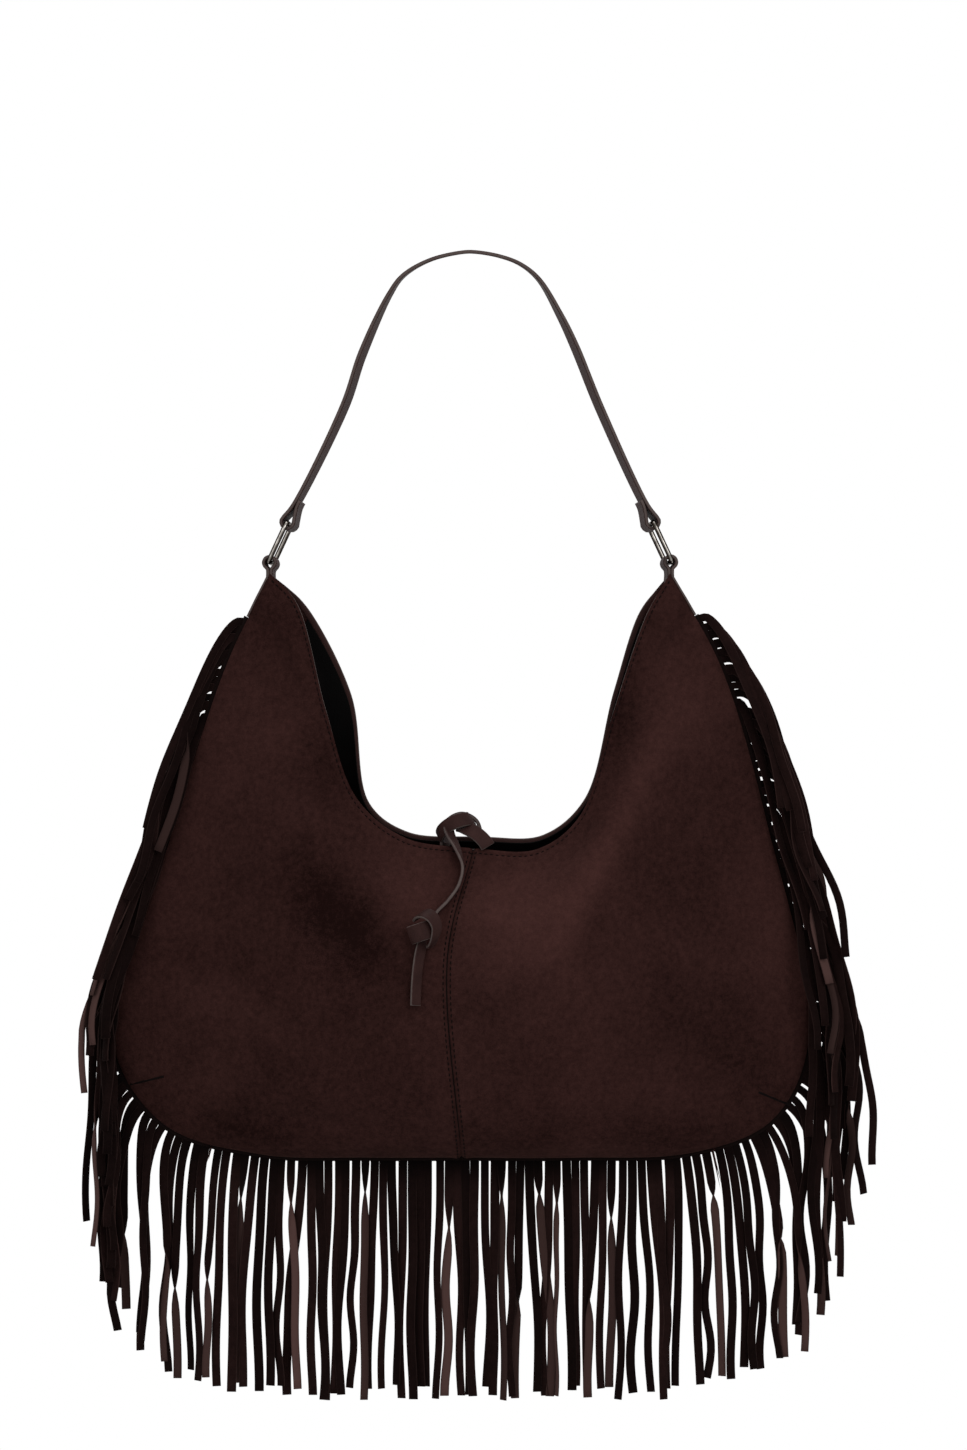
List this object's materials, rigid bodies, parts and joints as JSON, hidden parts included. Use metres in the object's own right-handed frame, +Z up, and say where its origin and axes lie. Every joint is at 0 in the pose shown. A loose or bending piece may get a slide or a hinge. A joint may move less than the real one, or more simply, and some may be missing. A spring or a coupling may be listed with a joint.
{
  "type": "fringed suede shoulder bag",
  "caption": "Soft crescent shoulder bag in dark suede, with a thin strap on two metal rings, a knotted tie at its open mouth and long fringe round its lower edge.",
  "frame": {"origin": "under the crown of the strap, where a hook or a shoulder carries the bag", "axes": "+Z up, +X to the right in the front view, the front faces -Y"},
  "size_m": [0.489, 0.101, 0.6857],
  "materials": {
    "suede": "matt napped suede, very dark brown",
    "fringe_suede": "matt cut suede, dark brown with paler reverse",
    "trim_leather": "satin leather with grey-brown cut edges",
    "facing_leather": "smooth dark leather",
    "lining_cloth": "black woven lining",
    "ring_metal": "polished dark nickel"
  },
  "bodies": {
    "strap": {"strap": "trim_leather"},
    "ring_left": {"ring_left": "ring_metal"},
    "ring_right": {"ring_right": "ring_metal"},
    "bag": {"ring_tab_left": "trim_leather", "ring_tab_right": "trim_leather", "tip_binding_left": "trim_leather", "tip_binding_right": "trim_leather", "front_panel_left": "suede", "front_panel_right": "suede", "back_panel_left": "suede", "back_panel_right": "suede", "front_mouth_facing": "facing_leather", "back_mouth_facing": "facing_leather", "lining_front": "lining_cloth", "lining_back": "lining_cloth", "fringe_left": "fringe_suede", "fringe_bottom": "fringe_suede", "fringe_right": "fringe_suede", "tie_back_thong": "trim_leather", "tie_front_thong": "trim_leather", "tie_tail": "trim_leather", "tie_end_knot": "trim_leather", "tie_tail_tip": "trim_leather"}
  },
  "joints": [
    {"name": "ring_left_swing", "type": "hinge", "parent": "strap", "child": "ring_left", "pos_m": [-0.1086, 0, -0.162], "axis": [0, 1, 0], "range_deg": [-12, 12]},
    {"name": "bag_sway", "type": "hinge", "parent": "ring_left", "child": "bag", "pos_m": [-0.11941, 0, -0.1852], "axis": [0, 1, 0], "range_deg": [-10.9, 10.9]},
    {"name": "ring_right_swing", "type": "hinge", "parent": "strap", "child": "ring_right", "pos_m": [0.1086, 0, -0.162], "axis": [0, 1, 0], "range_deg": [-12, 12]}
  ],
  "couplings": [
    {"joint": "ring_left_swing", "follows": "bag_sway", "ratio": -1.0996},
    {"joint": "ring_right_swing", "follows": "bag_sway", "ratio": -1.0996}
  ]
}
